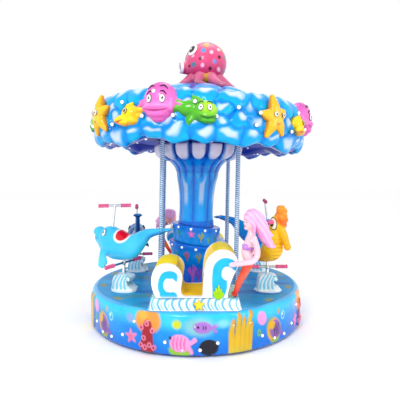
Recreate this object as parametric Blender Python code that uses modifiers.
"""Sea-themed children's carousel: a turning drum with a moulded column, a cloud canopy and an octopus on
top, carrying four bobbing animals and two boats. Metres, +Z up, floor at z = 0, spin axis on Z."""

import math

import bmesh
import bpy
from mathutils import Matrix, Vector

GAP = 0.0003  # left between faces that touch on the real object

# The drum
DRUM_RADIUS = 1.0
DECK_TOP = 0.335
DECK_THICKNESS = 0.030
RIM_ROUND = 0.045
RIM_POINTS = 4
RIM_LIP = 0.040  # how far the skirt's inner ledge reaches under the deck
SKIRT_WALL = 0.020
SKIRT_BOTTOM = 0.015
DRUM_STEPS = 60

# The fixed base and the bearing
BASE_RADIUS = 0.84
BASE_HEIGHT = 0.030
BASE_CHAMFER = 0.010
SPINDLE_RADIUS = 0.060
SPINDLE_SHOULDER = 0.120
HUB_RADIUS = 0.130
HUB_FLANGE = 0.250
BEARING_GAP = 0.0006

# The column, upwards
BOWL_TILT = math.radians(7.0)
UPPER_RIM = 0.885
LOWER_RIM = 0.710
BOWLS_TOP = 0.930
SHAFT_TOP = 1.400
CAPITAL_TOP = 1.700

# The canopy: it sits off centre and leans towards +X, as the real one does
CANOPY_SHIFT = 0.027
CANOPY_LEAN = math.radians(2.0)
CANOPY_INNER = 0.80
UNDERSIDE_THICKNESS = 0.030
ROOF_TOP = 2.26
ROOF_STEPS = 48
ROOF_RINGS = ((0.70, 16, 0.0, 0.125), (0.50, 11, 0.5, 0.125))  # radius, lumps, phase, lump radius
ROOF_LUMP_RISE = 0.24  # of its radius
ROOF_LUMP_FADE = 0.74  # from this radius outwards
PANEL_COUNT = 4
PANEL_START = 200.0
PANEL_STEPS = 28
CLOUD_OUTER = (  # radius and height, down the cloud ring's outer side
    (0.839, 2.029), (0.877, 2.027), (0.911, 2.010), (0.938, 1.982), (0.957, 1.949), (0.968, 1.913),
    (0.976, 1.875), (0.980, 1.837), (0.982, 1.799), (0.981, 1.760), (0.978, 1.722), (0.969, 1.685),
    (0.952, 1.651), (0.918, 1.634), (0.870, 1.640),
)
CLOUD_INNER = ((0.815, 1.672), (CANOPY_INNER, 1.71), (CANOPY_INNER, 2.015))
LUMP_RISE = 0.66  # of its half height
LUMPS = (  # angle, height, half width, half height, turn of one panel's cloud lumps
    (208.8, 1.968, 0.088, 0.095, 0), (218.4, 1.974, 0.084, 0.090, 0), (228.6, 1.984, 0.090, 0.100, 0),
    (238.4, 1.976, 0.090, 0.100, 0), (250.0, 1.985, 0.130, 0.090, 0), (263.0, 1.988, 0.086, 0.080, 0),
    (272.6, 1.988, 0.088, 0.080, 0), (286.8, 1.968, 0.135, 0.082, 0),
    (203.0, 1.890, 0.070, 0.070, 0), (223.5, 1.885, 0.060, 0.060, 0), (246.0, 1.880, 0.080, 0.070, 0),
    (263.0, 1.905, 0.090, 0.060, 0), (281.0, 1.893, 0.082, 0.048, 22), (293.0, 1.880, 0.070, 0.060, 0),
    (206.0, 1.790, 0.090, 0.080, 0), (216.0, 1.800, 0.080, 0.100, 0), (226.9, 1.810, 0.058, 0.070, 0),
    (237.5, 1.780, 0.120, 0.070, 14), (248.5, 1.775, 0.085, 0.070, -20), (257.2, 1.782, 0.095, 0.055, 30),
    (268.5, 1.785, 0.095, 0.060, 0), (279.3, 1.785, 0.080, 0.060, 0), (290.3, 1.806, 0.082, 0.070, 0),
    (227.4, 1.735, 0.062, 0.050, 20),
    (205.0, 1.690, 0.105, 0.080, 0), (216.2, 1.690, 0.100, 0.080, 0), (228.4, 1.675, 0.110, 0.080, 0),
    (238.6, 1.700, 0.115, 0.070, 14), (249.4, 1.700, 0.105, 0.065, 0), (260.2, 1.700, 0.115, 0.080, 8),
    (272.2, 1.692, 0.108, 0.075, 0), (283.6, 1.692, 0.106, 0.080, 0),
)
LOW_EDGE_LEVEL = 1.634
LOW_EDGE_FADE = (1.74, 1.645)  # heights between which the lower edge's scallops set in
LUMP_FADE = (1.66, 1.63)  # and between which the lumps end
LOW_EDGE = (  # angle and height of the scalloped lower edge of one panel
    (200.0, 1.622), (210.0, 1.655), (220.0, 1.640), (231.0, 1.606), (244.0, 1.668), (257.5, 1.630),
    (265.0, 1.650), (273.0, 1.634), (280.0, 1.650), (290.0, 1.622),
)
STAR_PLACE = (1.012, 219.0, 1.855)  # radius, angle, height of the reliefs of the first panel
YELLOW_FISH_PLACE = (0.995, 237.4, 1.826)
WHALE_PLACE = (0.965, 252.2, 1.906)
GREEN_FISH_PLACE = (0.990, 271.6, 1.852)
STAR_TIP = (0.148, 0.168)  # half width and half height
STAR_WAIST = 0.48
STAR_THICKNESS = 0.10
STAR_FIRST_TIP = 98.0
WHALE = (  # the reliefs' round masses: centre and radii, facing +X; head, mouth, side fins
    ((0.0, 0.0, 0.0), (0.118, 0.135, 0.152)),
    ((0.070, 0.0, -0.060), (0.062, 0.095, 0.050)),
    ((0.006, 0.0, -0.030), (0.035, 0.195, 0.036)),
)
YELLOW_FISH = (  # body, snout, tail
    ((0.0, 0.0, 0.010), (0.072, 0.100, 0.088)),
    ((0.050, -0.085, -0.036), (0.038, 0.050, 0.030)),
    ((0.0, 0.100, 0.020), (0.040, 0.050, 0.050)),
)
GREEN_FISH = (  # head, body, tail
    ((0.010, 0.030, 0.0), (0.080, 0.095, 0.080)),
    ((0.0, -0.070, 0.018), (0.050, 0.085, 0.056)),
    ((0.0, -0.135, 0.022), (0.030, 0.040, 0.075)),
)

# The octopus
OCTOPUS_CENTRE = Vector((0.045, 0.0, 2.492))
OCTOPUS_RADIUS = 0.208
OCTOPUS_LEGS = 8
OCTOPUS_FACE = math.radians(196.0)  # it looks to the left and a little forwards
OCTOPUS_MOUTH = (0.058, 0.12, 0.243, -0.062)  # radius, start and end from the middle, drop

# The poles
POLE_RING_RADIUS = 0.49
POLE_RADIUS = 0.0225
POLE_FIRST_ANGLE = -41.5
POLE_COUNT = 4

# The animals, their posts and handles
RIDER_RING_RADIUS = 0.75
RIDERS = (  # name, angle, heading, drop at rest, tail lift, footrest, wave's and handle's turn
    ("front_dolphin", 210.0, -58.0, 0.0, 0.0, (0.50, 0.585), 180.0, -46.0),
    ("rear_left_dolphin", 150.0, -50.0, 0.07, 0.11, (0.34, 0.585), -100.0, 80.0),
    ("rear_right_dolphin", 30.0, -58.0, 0.0, 0.0, (0.50, 0.585), 180.0, 22.0),
    ("seahorse", 330.0, -58.0, 0.0, 0.0, (0.36, 0.548), 88.0, 0.0),
)
POST_RADIUS = 0.014
POST_FOOT = 0.40
POST_FOOT_SHARE = 3 / 7  # of a rider's drop by which its post is longer
POST_SOCKET = 0.66
BORE_CLEARANCE = 0.0006
FOOTREST_RADIUS = 0.011
HANDLE_RADIUS = 0.012
HANDLE_BAR_RADIUS = 0.010
GRIP_RADIUS = 0.019
GRIP_LENGTH = 0.10
GRIP_OVERHANG = 0.006
DOLPHIN_HANDLE_FOOT = (0.135, 0.0, 0.865)
DOLPHIN_HANDLE_TOP = (0.105, 0.0, 1.097)
DOLPHIN_HANDLE_SPAN = 0.30
DOLPHIN_WIDTH = 0.82  # of its height
FLUKE_SPREAD = 0.10
SEAHORSE_TURN = 50.0
SEAHORSE_BAR = (0.058, 0.069, 0.966)
SEAHORSE_BAR_SPAN = 0.32
SEAHORSE_GRIP = 0.082

# The wave bases
WAVE_TOP = 0.485
WAVE_WIDTH = 0.13
WAVE_PLATE = 0.014

# The boats
BOAT_OUTER = -0.92
BOAT_INNER = -0.50
BOAT_WALL = 0.035
BOAT_SKIRT_TOP = 0.425
BOAT_SKIRT_LENGTH = 0.74
BOAT_SKIRT_SPREAD = 0.05
BENCH_SIZE = (0.13, 0.06)  # along the boat and high
BENCH_CENTRE = (0.128, 0.5053)
BENCH_PLAY = 0.004


def clear_scene():
    for obj in list(bpy.data.objects):
        bpy.data.objects.remove(obj, do_unlink=True)


clear_scene()
parts = bpy.data.collections.new("carousel")
cutters = bpy.data.collections.new("cutters")
bpy.context.scene.collection.children.link(parts)
bpy.context.scene.collection.children.link(cutters)


def paint(name, color, roughness=0.3, metallic=0.0):
    material = bpy.data.materials.new(name)
    material.use_nodes = True
    shader = material.node_tree.nodes["Principled BSDF"]
    shader.inputs["Base Color"].default_value = (*color, 1.0)
    shader.inputs["Roughness"].default_value = roughness
    shader.inputs["Metallic"].default_value = metallic
    return material


STEEL = paint("painted_steel", (0.10, 0.12, 0.15), 0.5, 0.6)
CHROME = paint("chrome", (0.80, 0.82, 0.85), 0.12, 1.0)
DRUM_BLUE = paint("drum_blue", (0.03, 0.45, 0.80), 0.2)
DECK_BLUE = paint("deck_blue", (0.03, 0.22, 0.55), 0.3)
COLUMN_BLUE = paint("column_blue", (0.01, 0.30, 0.75), 0.2)
CLOUD_BLUE = paint("cloud_blue", (0.05, 0.45, 0.85), 0.2)
UNDERSIDE_BLUE = paint("underside_blue", (0.02, 0.12, 0.50), 0.3)
OCTOPUS_PINK = paint("octopus_pink", (0.85, 0.12, 0.28), 0.2)
DOLPHIN_BLUE = paint("dolphin_blue", (0.05, 0.55, 0.85), 0.2)
SEAHORSE_YELLOW = paint("seahorse_yellow", (0.95, 0.60, 0.02), 0.25)
WAVE_WHITE = paint("wave_white", (0.85, 0.93, 0.95), 0.25)
BOAT_WHITE = paint("boat_white", (0.92, 0.92, 0.90), 0.2)
BENCH_YELLOW = paint("bench_yellow", (0.90, 0.62, 0.02), 0.3)
MERMAID_PINK = paint("mermaid_pink", (0.90, 0.45, 0.60), 0.3)


def keep(obj, material):
    """Puts an object among the parts, under its own material."""
    for owner in list(obj.users_collection):
        owner.objects.unlink(obj)
    parts.objects.link(obj)
    obj.data.materials.clear()
    obj.data.materials.append(material)
    return obj


def helper(obj):
    """Puts an object among the cutters, out of the model itself."""
    for owner in list(obj.users_collection):
        owner.objects.unlink(obj)
    cutters.objects.link(obj)
    obj.hide_render = True
    obj.display_type = "WIRE"
    return obj


def round_off(obj, degrees=35.0):
    obj.data.shade_smooth()
    obj.data.set_sharp_from_angle(angle=math.radians(degrees))
    return obj


def made_mesh(obj):
    """The object as one evaluated mesh, its caps welded; the source object goes."""
    bpy.context.view_layer.update()
    graph = bpy.context.evaluated_depsgraph_get()
    mesh = bpy.data.meshes.new_from_object(obj.evaluated_get(graph))
    work = bmesh.new()
    work.from_mesh(mesh)
    bmesh.ops.remove_doubles(work, verts=work.verts, dist=0.00001)
    bmesh.ops.recalc_face_normals(work, faces=work.faces)
    work.to_mesh(mesh)
    work.free()
    name = obj.name
    matrix = obj.matrix_world.copy()
    bpy.data.objects.remove(obj, do_unlink=True)
    made = bpy.data.objects.new(name, mesh)
    made.matrix_world = matrix
    parts.objects.link(made)
    return made


def turned(name, profile, steps, sweep=360.0, closed=False):
    """A profile of (radius, height) points turned about Z, read down its outer side."""
    mesh = bpy.data.meshes.new(name)
    corners = [(radius, 0.0, height) for radius, height in profile]
    links = [(index, index + 1) for index in range(len(corners) - 1)]
    if closed:
        links.append((len(corners) - 1, 0))
    mesh.from_pydata(corners, links, [])
    obj = bpy.data.objects.new(name, mesh)
    parts.objects.link(obj)
    screw = obj.modifiers.new("turn", "SCREW")
    screw.axis = "Z"
    screw.angle = math.radians(sweep)
    screw.steps = steps
    screw.render_steps = steps
    screw.use_merge_vertices = sweep == 360.0
    screw.merge_threshold = 0.0001
    screw.use_normal_calculate = False
    return obj


def box(name, size, centre):
    bpy.ops.mesh.primitive_cube_add(size=1.0, location=centre)
    obj = bpy.context.object
    obj.name = name
    obj.scale = size
    bpy.ops.object.transform_apply(location=False, rotation=False, scale=True)
    return obj


def ball(name, centre, radii, segments=16, rings=10):
    bpy.ops.mesh.primitive_uv_sphere_add(
        segments=segments, ring_count=rings, radius=1.0, location=centre
    )
    obj = bpy.context.object
    obj.name = name
    obj.scale = radii
    bpy.ops.object.transform_apply(location=False, rotation=False, scale=True)
    return obj


def rod(name, start, end, radius, sides=16):
    """A straight round bar between two points."""
    start = Vector(start)
    span = Vector(end) - start
    bpy.ops.mesh.primitive_cylinder_add(
        vertices=sides, radius=radius, depth=span.length, location=start + span / 2
    )
    obj = bpy.context.object
    obj.name = name
    obj.rotation_euler = span.to_track_quat("Z", "Y").to_euler()
    return obj


def limb(name, points, radii, smooth=4, sides=3):
    """A round body along a smooth line, with its own radius at each point."""
    curve = bpy.data.curves.new(name, "CURVE")
    curve.dimensions = "3D"
    curve.bevel_depth = 1.0
    curve.bevel_resolution = sides
    curve.use_fill_caps = True
    curve.resolution_u = smooth
    spline = curve.splines.new("BEZIER")
    spline.bezier_points.add(len(points) - 1)
    for point, place, radius in zip(spline.bezier_points, points, radii):
        point.co = place
        point.radius = radius
        point.handle_left_type = "AUTO"
        point.handle_right_type = "AUTO"
    obj = bpy.data.objects.new(name, curve)
    parts.objects.link(obj)
    return made_mesh(obj)


def slab(name, outline, thickness, smooth=6):
    """A flat plate with a rounded outline of (x, z) points, its thickness along Y about y = 0."""
    curve = bpy.data.curves.new(name, "CURVE")
    curve.dimensions = "2D"
    curve.fill_mode = "BOTH"
    curve.extrude = thickness / 2
    curve.resolution_u = smooth
    spline = curve.splines.new("BEZIER")
    spline.bezier_points.add(len(outline) - 1)
    for point, place in zip(spline.bezier_points, outline):
        point.co = (place[0], place[1], 0.0)
        kind = "VECTOR" if len(place) > 2 else "AUTO"
        point.handle_left_type = kind
        point.handle_right_type = kind
    spline.use_cyclic_u = True
    obj = bpy.data.objects.new(name, curve)
    parts.objects.link(obj)
    obj.rotation_euler = (math.radians(90.0), 0.0, 0.0)
    return made_mesh(obj)


def combine(obj, others, operation="UNION"):
    """Joins or cuts obj with the others, in order, and keeps one mesh."""
    for other in others:
        helper(other)
        step = obj.modifiers.new("with_" + other.name, "BOOLEAN")
        step.operation = operation
        step.solver = "EXACT"
        step.object = other
    return obj


def group(name, location, degrees, parent=None):
    """An empty that carries the pieces of one assembly."""
    empty = bpy.data.objects.new(name, None)
    parts.objects.link(empty)
    empty.location = location
    empty.rotation_euler = (0.0, 0.0, math.radians(degrees))
    empty.parent = parent
    return empty


def around(radius, degrees, height=0.0):
    angle = math.radians(degrees)
    return Vector((radius * math.cos(angle), radius * math.sin(angle), height))


def build_ground():
    """The fixed base disc under the drum, and the spindle that everything turns on."""
    edge = BASE_RADIUS - BASE_CHAMFER
    disc = [(0.0, BASE_HEIGHT), (edge, BASE_HEIGHT), (BASE_RADIUS, BASE_HEIGHT - BASE_CHAMFER)]
    disc += [(BASE_RADIUS, 0.0), (0.0, 0.0)]
    keep(round_off(turned("ground_base", disc, 48)), STEEL)
    foot = BASE_HEIGHT + GAP
    top = DECK_TOP - DECK_THICKNESS - 0.02
    post = [(0.0, top), (SPINDLE_RADIUS, top), (SPINDLE_RADIUS, SPINDLE_SHOULDER)]
    post += [(HUB_RADIUS, SPINDLE_SHOULDER), (HUB_RADIUS + 0.03, foot), (0.0, foot)]
    keep(round_off(turned("centre_spindle", post, 24)), STEEL)


def build_drum():
    """The turning hub, deck and rounded skirt."""
    under = DECK_TOP - DECK_THICKNESS
    bore = SPINDLE_RADIUS + BEARING_GAP
    low = SPINDLE_SHOULDER + BEARING_GAP
    hub = [(bore, under - GAP), (HUB_FLANGE, under - GAP), (HUB_FLANGE, under - 0.03)]
    hub += [(HUB_RADIUS, under - 0.06), (HUB_RADIUS, low), (bore, low)]
    keep(round_off(turned("turntable_hub", hub, 24, closed=True)), STEEL)
    flat = DRUM_RADIUS - RIM_ROUND
    deck = [(0.0, DECK_TOP), (flat - GAP, DECK_TOP), (flat - GAP, under), (0.0, under)]
    keep(round_off(turned("platform_deck", deck, DRUM_STEPS)), DECK_BLUE)
    rim = []
    for index in range(RIM_POINTS):
        angle = math.radians(90.0 - 90.0 * index / (RIM_POINTS - 1))
        out = RIM_ROUND * math.cos(angle)
        rim.append((flat + out, DECK_TOP - RIM_ROUND + RIM_ROUND * math.sin(angle)))
    wall = DRUM_RADIUS - SKIRT_WALL
    ledge = flat - RIM_LIP
    rim += [(DRUM_RADIUS, 0.04), (DRUM_RADIUS - 0.008, SKIRT_BOTTOM), (wall - 0.008, SKIRT_BOTTOM)]
    rim += [(wall, 0.05), (wall, under - 0.03), (ledge, under - 0.03), (ledge, under - GAP)]
    rim += [(flat, under - GAP)]
    keep(round_off(turned("drum_skirt", rim, DRUM_STEPS, closed=True)), DRUM_BLUE)


def tilt_weight(height):
    """How far the bowls lean at this height: fully at the rims, not at the foot or the top joint."""
    rise = min(1.0, max(0.0, (height - 0.45) / 0.20))
    fall = min(1.0, max(0.0, (BOWLS_TOP - height) / 0.035))
    return rise * fall


def column_offset(height):
    """How far the column has moved towards +X at this height, on its way to the canopy."""
    return CANOPY_SHIFT * (height - BOWLS_TOP) / (CAPITAL_TOP - BOWLS_TOP)


def canopy_drop(x):
    """How far the leaning canopy's underside is below the top of the column at this x."""
    return (x - CANOPY_SHIFT) * math.tan(CANOPY_LEAN)


def build_bowls():
    """The two tilted bowls at the column's foot."""
    foot = DECK_TOP + GAP
    profile = [(0.0, BOWLS_TOP), (0.176, BOWLS_TOP), (0.178, UPPER_RIM), (0.228, UPPER_RIM)]
    profile += [(0.240, UPPER_RIM - 0.008), (0.234, UPPER_RIM - 0.05), (0.222, 0.76)]
    profile += [(0.218, LOWER_RIM), (0.254, LOWER_RIM), (0.265, LOWER_RIM - 0.008), (0.258, 0.66)]
    profile += [(0.238, 0.58), (0.215, 0.53), (0.205, 0.50), (0.215, 0.40), (0.235, foot), (0.0, foot)]
    bowls = made_mesh(turned("column_bowls", profile, 24))
    for vertex in bowls.data.vertices:
        lean_here = -vertex.co.x * math.tan(BOWL_TILT)
        vertex.co.z += lean_here * tilt_weight(vertex.co.z)
    keep(round_off(bowls), COLUMN_BLUE)


def build_shaft():
    """The shaft and the flared capital under the canopy."""
    seat = BOWLS_TOP + GAP
    profile = [(0.0, SHAFT_TOP), (0.206, SHAFT_TOP), (0.198, 1.34), (0.186, 1.28), (0.174, 1.20)]
    profile += [(0.168, 1.10), (0.166, 1.02), (0.170, seat), (0.0, seat)]
    shaft = made_mesh(turned("column_shaft", profile, 24))
    foot = SHAFT_TOP + GAP
    profile = [(0.0, CAPITAL_TOP), (0.36, CAPITAL_TOP), (0.405, 1.675), (0.412, 1.635), (0.385, 1.575)]
    profile += [(0.32, 1.52), (0.250, 1.475), (0.215, 1.43), (0.206, foot), (0.0, foot)]
    capital = made_mesh(turned("column_capital", profile, 24))
    for vertex in list(shaft.data.vertices) + list(capital.data.vertices):
        vertex.co.x += column_offset(vertex.co.z)
    for vertex in capital.data.vertices:
        if vertex.co.z > 1.66:
            vertex.co.z -= canopy_drop(vertex.co.x)
    keep(round_off(shaft), COLUMN_BLUE)
    keep(round_off(capital), COLUMN_BLUE)


def smoothstep(low, high, value):
    share = min(1.0, max(0.0, (value - low) / (high - low)))
    return share * share * (3.0 - 2.0 * share)


def cloud_stations():
    """The outer cloud section as (radius, height, reach along it, outward radius and height)."""
    stations = []
    reach = 0.0
    line = [CLOUD_INNER[-1]] + list(CLOUD_OUTER) + [CLOUD_INNER[0]]
    for before, here, after in zip(line, line[1:], line[2:]):
        reach += math.dist(before, here)
        span = math.dist(before, after)
        along_radius, along_height = (after[0] - before[0]) / span, (after[1] - before[1]) / span
        stations.append((here[0], here[1], reach, -along_height, along_radius))
    return stations


def reach_of(height, stations):
    """How far along the outer section this height is."""
    low = min(stations, key=lambda station: abs(station[1] - height))
    return low[2] + low[1] - height


def cloud_lump(degrees, reach, stations):
    """How far the cloud swells at this angle and reach along its section: round lumps side by side."""
    swell = 0.0
    step = 360.0 / PANEL_COUNT
    for centre, level, wide, high, turn in LUMPS:
        up = reach_of(level, stations) - reach
        away = (degrees - centre + step / 2) % step - step / 2
        across = math.radians(away) * CLOUD_OUTER[8][0]
        c, s = math.cos(math.radians(turn)), math.sin(math.radians(turn))
        share = ((across * c + up * s) / wide) ** 2 + ((up * c - across * s) / high) ** 2
        if share < 1.0:
            swell = max(swell, LUMP_RISE * high * math.sqrt(1.0 - share))
    return swell


def low_edge(degrees):
    """Height of the scalloped lower edge at this angle."""
    folded = (degrees - PANEL_START) % (360.0 / PANEL_COUNT) + PANEL_START
    for (start, low), (end, high) in zip(LOW_EDGE, LOW_EDGE[1:]):
        if folded <= end:
            return low + (high - low) * smoothstep(start, end, folded)
    return LOW_EDGE[-1][1]


def relief(obj, angle, radius, height):
    """Turns a relief made facing +X at the origin to its place on the canopy's outside."""
    obj.matrix_world = Matrix.Translation(around(radius, angle, height)) @ Matrix.Rotation(
        math.radians(angle), 4, "Z"
    )
    return obj


def star_relief(name, angle):
    points = []
    for index in range(10):
        reach = 1.0 if index % 2 == 0 else STAR_WAIST
        turn = math.radians(STAR_FIRST_TIP + 36.0 * index)
        points.append((STAR_TIP[0] * reach * math.cos(turn), STAR_TIP[1] * reach * math.sin(turn)))
    star = slab(name, points, STAR_THICKNESS, smooth=2)
    star.rotation_euler = (0.0, 0.0, 0.0)
    star.data.transform(Matrix.Rotation(math.radians(90.0), 4, "X"))
    star.data.transform(Matrix.Rotation(math.radians(90.0), 4, "Z"))
    return relief(star, angle, STAR_PLACE[0], STAR_PLACE[2])


def balls(name, lumps, place, turn):
    """Rounded reliefs of (centre, radii), made facing +X, at one place on the canopy."""
    made = []
    for index, (centre, radii) in enumerate(lumps):
        segments = 12 if index == 0 else 8
        lump = ball(name + "_" + str(index + 1), (0, 0, 0), radii, segments, segments // 2 + 1)
        lump.data.transform(Matrix.Translation(centre))
        made.append(relief(lump, place[1] + turn, place[0], place[2]))
    return made


def creatures(index):
    """The four reliefs of one canopy panel: star, yellow fish, whale face, green fish."""
    turn = 360.0 / PANEL_COUNT * index
    tag = str(index + 1)
    made = [star_relief("star_" + tag, STAR_PLACE[1] + turn)]
    made += balls("yellow_fish_" + tag, YELLOW_FISH, YELLOW_FISH_PLACE, turn)
    made += balls("whale_" + tag, WHALE, WHALE_PLACE, turn)
    made += balls("green_fish_" + tag, GREEN_FISH, GREEN_FISH_PLACE, turn)
    return made


def build_panel(index):
    """A quarter of the cloud ring with its four reliefs, bolted to its neighbours and the roof."""
    sweep = 360.0 / PANEL_COUNT
    slit = math.degrees(GAP / CANOPY_INNER)
    name = "canopy_panel_" + str(index + 1)
    section = list(CLOUD_OUTER) + list(CLOUD_INNER)
    panel = made_mesh(turned(name, section, PANEL_STEPS, sweep - slit, closed=True))
    work = bmesh.new()
    work.from_mesh(panel.data)
    bmesh.ops.holes_fill(work, edges=work.edges)
    bmesh.ops.recalc_face_normals(work, faces=work.faces)
    work.to_mesh(panel.data)
    work.free()
    start = PANEL_START + sweep * index
    stations = cloud_stations()
    for vertex in panel.data.vertices:
        radius = math.hypot(vertex.co.x, vertex.co.y)
        near = min(stations, key=lambda station: math.dist(station[:2], (radius, vertex.co.z)))
        if math.dist(near[:2], (radius, vertex.co.z)) < GAP:
            degrees = math.degrees(math.atan2(vertex.co.y, vertex.co.x)) + start
            swell = cloud_lump(degrees, near[2], stations)
            swell *= 1.0 - smoothstep(*LUMP_FADE, vertex.co.z)
            grown = (radius + near[3] * swell) / radius
            sink = (low_edge(degrees) - LOW_EDGE_LEVEL) * smoothstep(*LOW_EDGE_FADE, vertex.co.z)
            vertex.co.x *= grown
            vertex.co.y *= grown
            vertex.co.z += near[4] * swell + sink
    panel.data.transform(Matrix.Rotation(math.radians(start), 4, "Z"))
    combine(panel, creatures(index))
    keep(round_off(made_mesh(panel)), CLOUD_BLUE)


def lean(names):
    """Moves the finished canopy pieces onto the column's top and leans them together."""
    top = Matrix.Translation((CANOPY_SHIFT, 0.0, CAPITAL_TOP))
    move = top @ Matrix.Rotation(CANOPY_LEAN, 4, "Y") @ Matrix.Translation((0.0, 0.0, -CAPITAL_TOP))
    bpy.context.view_layer.update()
    for name in names:
        piece = bpy.data.objects[name]
        piece.matrix_world = move @ piece.matrix_world


def roof_lump(x, y):
    """How far the roof swells here: two rings of low round lumps."""
    rise = 0.0
    for ring, count, phase, size in ROOF_RINGS:
        for index in range(count):
            angle = 2 * math.pi * (index + phase) / count
            gap = math.dist((x, y), (ring * math.cos(angle), ring * math.sin(angle))) / size
            if gap < 1.0:
                rise = max(rise, ROOF_LUMP_RISE * size * math.sqrt(1.0 - gap * gap))
    return rise


def build_canopy():
    """The canopy, carried by the capital and the poles."""
    fit = CANOPY_INNER - 0.001
    foot = CAPITAL_TOP + GAP
    top = foot + UNDERSIDE_THICKNESS
    plate = [(0.0, top), (fit, top), (fit, foot), (0.0, foot)]
    keep(round_off(turned("canopy_underside", plate, 48)), UNDERSIDE_BLUE)
    outer = [(0.0, 0.0), (0.20, 0.0), (0.36, 0.035), (0.43, 0.060), (0.48, 0.079), (0.53, 0.099)]
    outer += [(0.58, 0.120), (0.63, 0.147), (0.68, 0.174), (0.73, 0.201), (fit, 0.240)]  # radius, drop
    inner = [(fit, 0.270), (0.58, 0.145), (0.36, 0.06), (0.20, 0.025), (0.0, 0.025)]
    dome = [(radius, ROOF_TOP - drop) for radius, drop in outer + inner]
    roof = made_mesh(turned("canopy_roof", dome, ROOF_STEPS))
    for vertex in roof.data.vertices:
        radius = math.hypot(vertex.co.x, vertex.co.y)
        drop = min(outer, key=lambda place: abs(place[0] - radius))[1]
        if abs(ROOF_TOP - drop - vertex.co.z) < GAP:
            vertex.co.z += roof_lump(vertex.co.x, vertex.co.y) * smoothstep(fit, ROOF_LUMP_FADE, radius)
    keep(round_off(roof), CLOUD_BLUE)
    names = ["canopy_underside", "canopy_roof", "octopus_head", "octopus_legs"]
    for index in range(PANEL_COUNT):
        build_panel(index)
        names.append("canopy_panel_" + str(index + 1))
    build_octopus()
    lean(names)


def build_octopus():
    """The octopus on the roof: a round head with a tube mouth, over a skirt of eight legs."""
    head = ball("octopus_head", OCTOPUS_CENTRE, [OCTOPUS_RADIUS] * 3, 20, 12)
    radius, inner, outer, drop = OCTOPUS_MOUTH
    face = Vector((math.cos(OCTOPUS_FACE), math.sin(OCTOPUS_FACE), 0.0))
    low = OCTOPUS_CENTRE + Vector((0.0, 0.0, drop))
    mouth = rod("octopus_mouth", low + face * inner, low + face * outer, radius)
    combine(head, [mouth])
    keep(round_off(made_mesh(head)), OCTOPUS_PINK)
    foot = ROOF_TOP + GAP
    skirt = [(0.0, foot + 0.13), (0.10, foot + 0.13), (0.145, foot + 0.09), (0.19, foot), (0.0, foot)]
    legs = turned("octopus_legs", skirt, 20)
    legs.location.x = OCTOPUS_CENTRE.x
    centre = Vector((OCTOPUS_CENTRE.x, 0.0, foot))
    arms = []
    for index in range(OCTOPUS_LEGS):
        turn = (index + 0.5) * 360.0 / OCTOPUS_LEGS
        line = [centre + around(0.08, turn, 0.075), centre + around(0.20, turn, 0.045)]
        line += [centre + around(0.29, turn + 6.0, 0.028), centre + around(0.345, turn + 16.0, 0.045)]
        arms.append(limb("octopus_leg_" + str(index + 1), line, [0.050, 0.040, 0.028, 0.016], 2, 1))
    seat = ball("octopus_seat", OCTOPUS_CENTRE, [OCTOPUS_RADIUS + 0.001] * 3, 20, 12)
    combine(legs, arms)
    combine(legs, [seat], "DIFFERENCE")
    keep(round_off(made_mesh(legs)), OCTOPUS_PINK)


def build_poles():
    """Four slim poles from the deck to the canopy's underside, following its shift."""
    for index in range(POLE_COUNT):
        place = around(POLE_RING_RADIUS, POLE_FIRST_ANGLE + 360.0 / POLE_COUNT * index)
        slope = POLE_RADIUS * math.tan(CANOPY_LEAN)
        foot = DECK_TOP + GAP
        top = CAPITAL_TOP - canopy_drop(place.x + CANOPY_SHIFT) - slope
        name = "canopy_pole_" + str(index + 1)
        pole = rod(name, (place.x, place.y, foot), (place.x, place.y, top), POLE_RADIUS)
        for vertex in pole.data.vertices:
            vertex.co.x += CANOPY_SHIFT * (vertex.co.z / (top - foot) + 0.5)
        keep(round_off(pole), CHROME)


def bar_with_grips(name, centre, span, radius, grip=GRIP_LENGTH, turn=0.0):
    """A straight bar, along Y unless turned, with a soft grip at each end."""
    centre = Vector(centre)
    along = around(1.0, 90.0 + turn)
    half = along * (span / 2)
    bar = rod(name, centre - half, centre + half, radius, 12)
    inner = along * (span / 2 - grip)
    reach = along * (span / 2 + GRIP_OVERHANG)
    grips = [rod(name + "_left", centre + inner, centre + reach, GRIP_RADIUS, 12)]
    grips.append(rod(name + "_right", centre - inner, centre - reach, GRIP_RADIUS, 12))
    return [bar] + grips


def build_wave_base(name, carrier, turn):
    """The moulded wave that a rider's post slides in, on its foot plate."""
    foot = DECK_TOP + GAP
    plate_line = [(-0.125, 0.0), (-0.06, -0.085), (0.05, -0.095), (0.125, -0.03), (0.10, 0.06)]
    plate_line += [(-0.02, 0.095)]
    plate = slab(name + "_plate", plate_line, WAVE_PLATE, 4)
    plate.data.transform(Matrix.Translation((0.0, 0.0, foot + WAVE_PLATE / 2)))
    plate.matrix_world = Matrix.Identity(4)
    low = foot + 0.006
    wave_line = [(-0.095, low, 0), (-0.085, 0.43), (-0.055, WAVE_TOP, 0), (0.045, WAVE_TOP, 0)]
    wave_line += [(0.085, 0.462), (0.078, 0.435), (0.060, 0.440), (0.062, 0.40), (0.105, low, 0)]
    wave = slab(name, wave_line, WAVE_WIDTH, 3)
    bore_start = (0.0, 0.0, foot + 0.012)
    bore_end = (0.0, 0.0, WAVE_TOP + 0.05)
    bore = rod(name + "_bore", bore_start, bore_end, POST_RADIUS + BORE_CLEARANCE, 20)
    combine(wave, [plate])
    combine(wave, [bore], "DIFFERENCE")
    wave = made_mesh(wave)
    wave.data.transform(wave.matrix_world)
    wave.data.transform(Matrix.Rotation(math.radians(turn), 4, "Z"))
    wave.matrix_world = Matrix.Identity(4)
    return seat_on(wave, carrier, WAVE_WHITE)


def seat_on(piece, carrier, material):
    """Hangs a finished piece, made about the origin, on its carrier."""
    keep(round_off(piece), material)
    piece.parent = carrier
    return piece


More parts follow.
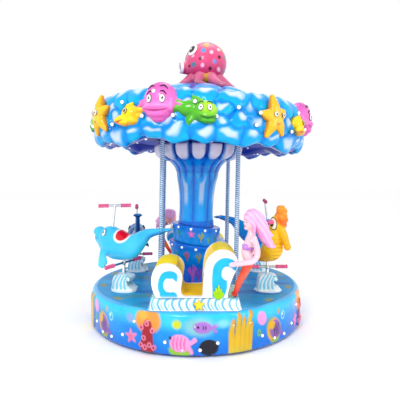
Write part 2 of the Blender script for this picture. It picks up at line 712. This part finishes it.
def build_post(name, carrier, span, height, drop):
    """The sliding post with its footrest bar; a rider that rests lower has a longer one."""
    foot = POST_FOOT + drop * (1.0 - POST_FOOT_SHARE)
    post = rod(name, (0.0, 0.0, foot), (0.0, 0.0, POST_SOCKET - GAP), POST_RADIUS, 16)
    bar = bar_with_grips(name + "_footrest", (0.0, 0.0, height), span, FOOTREST_RADIUS)
    combine(post, bar)
    return seat_on(made_mesh(post), carrier, CHROME)


def build_handle(name, carrier, foot, top, span, turn):
    """The T handle: a stem out of the animal's head and a cross bar with grips, turned by hand."""
    stem = rod(name, foot, top, HANDLE_RADIUS, 12)
    bar = bar_with_grips(name + "_bar", top, span, HANDLE_BAR_RADIUS, turn=turn)
    combine(stem, bar)
    return seat_on(made_mesh(stem), carrier, CHROME)


def cut_sockets(body, name, foot, top):
    """Cuts the sockets of the post and of the handle's stem into an animal's body."""
    post = rod(name + "_post_socket", (0, 0, 0.45), (0, 0, POST_SOCKET), POST_RADIUS + GAP, 16)
    along = (Vector(top) - Vector(foot)).normalized()
    start = Vector(foot) - along * GAP
    stem = rod(name + "_stem_socket", start, Vector(top), HANDLE_RADIUS + GAP, 12)
    return combine(body, [post, stem], "DIFFERENCE")


def build_dolphin(name, carrier, tail_lift, handle_turn):
    """A leaping dolphin, nose along +X, with the tail raised by tail_lift more."""
    line = [(0.330, 0.0, 0.850), (0.26, 0.0, 0.815), (0.15, 0.0, 0.765), (0.04, 0.0, 0.742)]
    line += [(-0.06, 0.0, 0.730), (-0.15, 0.0, 0.762), (-0.22, 0.0, 0.818), (-0.29, 0.0, 0.865)]
    line += [(-0.385, 0.0, 0.890 + tail_lift * 0.9)]
    line += [(-0.445 + tail_lift / 3, 0.0, 0.905 + tail_lift * 1.6)]
    radii = [0.042, 0.082, 0.139, 0.137, 0.114, 0.096, 0.070, 0.046, 0.030, 0.020]
    body = limb(name, line, radii, 2, 3)
    body.data.transform(Matrix.Diagonal((1.0, DOLPHIN_WIDTH, 1.0, 1.0)))
    fins = []
    for side, word in ((1, "left"), (-1, "right")):
        flipper = [(0.17, side * 0.08, 0.70), (0.135, side * 0.145, 0.64), (0.105, side * 0.185, 0.58)]
        fins.append(limb(name + "_flipper_" + word, flipper, [0.048, 0.044, 0.036], 2, 1))
    end = Vector(line[-1])
    spread = FLUKE_SPREAD - tail_lift / 2
    fluke = [end + Vector((-0.045, -spread, 0.01)), end, end + Vector((-0.045, spread, 0.01))]
    fins.append(limb(name + "_fluke", fluke, [0.012, 0.030, 0.012], 2, 1))
    combine(body, fins)
    cut_sockets(body, name, DOLPHIN_HANDLE_FOOT, DOLPHIN_HANDLE_TOP)
    seat_on(made_mesh(body), carrier, DOLPHIN_BLUE)
    handle = name + "_handle"
    foot, top = DOLPHIN_HANDLE_FOOT, DOLPHIN_HANDLE_TOP
    build_handle(handle, carrier, foot, top, DOLPHIN_HANDLE_SPAN, handle_turn)


def build_seahorse(name, carrier):
    """A sitting seahorse, its head and snout turned towards its left."""
    line = [(-0.115, 0.0, 0.72), (-0.135, 0.0, 0.665), (-0.095, 0.0, 0.635), (-0.01, 0.0, 0.668)]
    line += [(0.055, 0.0, 0.716), (0.065, 0.0, 0.805), (0.085, 0.0, 0.88), (0.095, 0.0, 0.95)]
    line += [(0.100, 0.0, 1.01)]
    radii = [0.018, 0.028, 0.046, 0.082, 0.108, 0.078, 0.067, 0.064, 0.042]
    body = limb(name, line, radii, 2, 2)
    snout_line = [(0.09, 0.0, 0.92), (0.145, 0.0, 0.865), (0.20, 0.0, 0.80), (0.228, 0.0, 0.748)]
    snout = limb(name + "_snout", snout_line, [0.055, 0.047, 0.033, 0.032], 2, 1)
    crest_line = [(0.140, 0.0, 0.955), (0.150, 0.0, 1.02), (0.135, 0.0, 1.075)]
    crest = limb(name + "_crest", crest_line, [0.050, 0.050, 0.036], 2, 1)
    combine(body, [snout, crest])
    body = made_mesh(body)
    body.data.transform(Matrix.Rotation(math.radians(SEAHORSE_TURN), 4, "Z"))
    handle = name + "_handle"
    span, turn = SEAHORSE_BAR_SPAN, SEAHORSE_TURN
    grip = bar_with_grips(handle, SEAHORSE_BAR, span, HANDLE_RADIUS, SEAHORSE_GRIP, turn)
    through = around(0.22, 90.0 + turn)
    hole_start = Vector(SEAHORSE_BAR) - through
    hole_end = Vector(SEAHORSE_BAR) + through
    hole = rod(name + "_bar_hole", hole_start, hole_end, HANDLE_RADIUS + GAP, 12)
    post = rod(name + "_post_socket", (0, 0, 0.45), (0, 0, POST_SOCKET), POST_RADIUS + GAP, 16)
    combine(body, [post, hole], "DIFFERENCE")
    seat_on(made_mesh(body), carrier, SEAHORSE_YELLOW)
    combine(grip[0], grip[1:])
    seat_on(made_mesh(grip[0]), carrier, CHROME)


def build_riders():
    for name, angle, heading, drop, tail_lift, footrest, wave_turn, handle_turn in RIDERS:
        carrier = group(name + "_place", around(RIDER_RING_RADIUS, angle), angle + heading)
        build_wave_base(name + "_wave_base", carrier, wave_turn)
        lift = group(name + "_lift", (0.0, 0.0, -drop), 0.0, carrier)
        build_post(name + "_post", lift, *footrest, drop)
        if name == "seahorse":
            build_seahorse(name, lift)
        else:
            build_dolphin(name, lift, tail_lift, handle_turn)


def side_outline():
    """The boat's side: a low curl in front (-X), the entry, and the high curl of the backrest."""
    low, sill = BOAT_SKIRT_TOP + GAP, 0.440
    line = [(-0.30, low, 0), (-0.335, 0.50), (-0.338, 0.59), (-0.29, 0.672), (-0.21, 0.690)]
    line += [(-0.125, 0.655), (-0.095, 0.585), (-0.11, 0.50), (-0.085, sill, 0), (0.060, sill, 0)]
    line += [(0.065, 0.55), (0.085, 0.70), (0.15, 0.785), (0.24, 0.795), (0.32, 0.745), (0.338, 0.68)]
    line += [(0.30, 0.60), (0.265, 0.50), (0.25, low, 0)]
    return line


def build_boat(name, carrier):
    """A boat: hull of two curled sides joined by its rolled ends and floor, bench, and wave skirt."""
    width = BOAT_INNER - BOAT_OUTER
    middle = (BOAT_INNER + BOAT_OUTER) / 2
    hull = slab(name + "_hull", side_outline(), width, 4)
    well_line = [(-0.235, 0.475, 0), (-0.245, 0.60), (-0.20, 0.64), (-0.15, 0.66), (-0.10, 0.72, 0)]
    well_line += [(0.06, 0.84, 0), (0.20, 0.735), (0.235, 0.66), (0.21, 0.475, 0)]
    well = slab(name + "_well", well_line, width - 2 * BOAT_WALL, 3)
    hull = made_mesh(combine(hull, [well], "DIFFERENCE"))
    hull.matrix_world.translation.y = middle
    seat_on(hull, carrier, BOAT_WHITE)
    bench_length, bench_height = BENCH_SIZE
    bench_x, bench_z = BENCH_CENTRE
    inside = width - 2 * BOAT_WALL - BENCH_PLAY
    bench = box(name + "_bench", (bench_length, inside, bench_height), (bench_x, middle, bench_z))
    seat_on(bench, carrier, BENCH_YELLOW)
    foot, top = DECK_TOP + GAP, BOAT_SKIRT_TOP
    size = (BOAT_SKIRT_LENGTH, width + BOAT_SKIRT_SPREAD, top - foot)
    skirt = box(name + "_wave_skirt", size, (0.0, middle, (top + foot) / 2))
    for vertex in skirt.data.vertices:
        if vertex.co.z > 0:
            vertex.co.x *= 0.96
            vertex.co.y *= 0.97
    seat_on(skirt, carrier, WAVE_WHITE)


def build_mermaid(name, carrier, pose):
    """A mermaid leaning on the boat's high curl."""
    tail = limb(name, pose["body"], pose["body_radii"], 2, 2)
    extras = [ball(name + "_head", pose["head"], (0.058, 0.058, 0.068), 12, 8)]
    extras.append(limb(name + "_hair", pose["hair"], pose["hair_radii"], 2, 1))
    extras.append(limb(name + "_arm", pose["arm"], [0.022, 0.019, 0.016], 3, 1))
    foot = BOAT_SKIRT_TOP + GAP
    extras.append(ball(name + "_fin", (0.312, -0.86, foot + 0.012), (0.038, 0.05, 0.012), 12, 6))
    combine(tail, extras)
    seat_on(made_mesh(tail), carrier, MERMAID_PINK)


FRONT_POSE = {
    "body": [(0.315, -0.86, 0.438), (0.35, -0.86, 0.54), (0.40, -0.85, 0.64), (0.44, -0.84, 0.72)]
    + [(0.42, -0.83, 0.81), (0.435, -0.82, 0.885), (0.435, -0.82, 0.95)],
    "body_radii": [0.020, 0.032, 0.045, 0.048, 0.050, 0.040, 0.026],
    "head": (0.435, -0.82, 1.000),
    "hair": [(0.47, -0.80, 1.04), (0.53, -0.79, 0.98), (0.57, -0.78, 0.89), (0.63, -0.78, 0.80)],
    "hair_radii": [0.055, 0.058, 0.045, 0.018],
    "arm": [(0.455, -0.845, 0.885), (0.50, -0.875, 0.76), (0.315, -0.945, 0.705)],
}
REAR_POSE = {
    "body": [(0.315, -0.86, 0.438), (0.37, -0.86, 0.53), (0.42, -0.84, 0.62), (0.425, -0.82, 0.70)]
    + [(0.405, -0.80, 0.78), (0.36, -0.78, 0.85), (0.32, -0.78, 0.875)],
    "body_radii": [0.020, 0.032, 0.045, 0.048, 0.046, 0.036, 0.026],
    "head": (0.295, -0.78, 0.885),
    "hair": [(0.31, -0.77, 0.925), (0.375, -0.77, 0.905), (0.435, -0.77, 0.84), (0.475, -0.77, 0.75)],
    "hair_radii": [0.048, 0.050, 0.040, 0.018],
    "arm": [(0.38, -0.82, 0.83), (0.345, -0.935, 0.815), (0.26, -0.953, 0.735)],
}
BOAT_PLACES = (("front", 0.0, FRONT_POSE), ("rear", 180.0, REAR_POSE))


def build_boats():
    for name, degrees, pose in BOAT_PLACES:
        carrier = group(name + "_boat_place", (0.0, 0.0, 0.0), degrees)
        build_boat(name + "_boat", carrier)
        build_mermaid(name + "_mermaid", carrier, pose)


build_ground()
build_drum()
build_bowls()
build_shaft()
build_canopy()
build_poles()
build_riders()
build_boats()
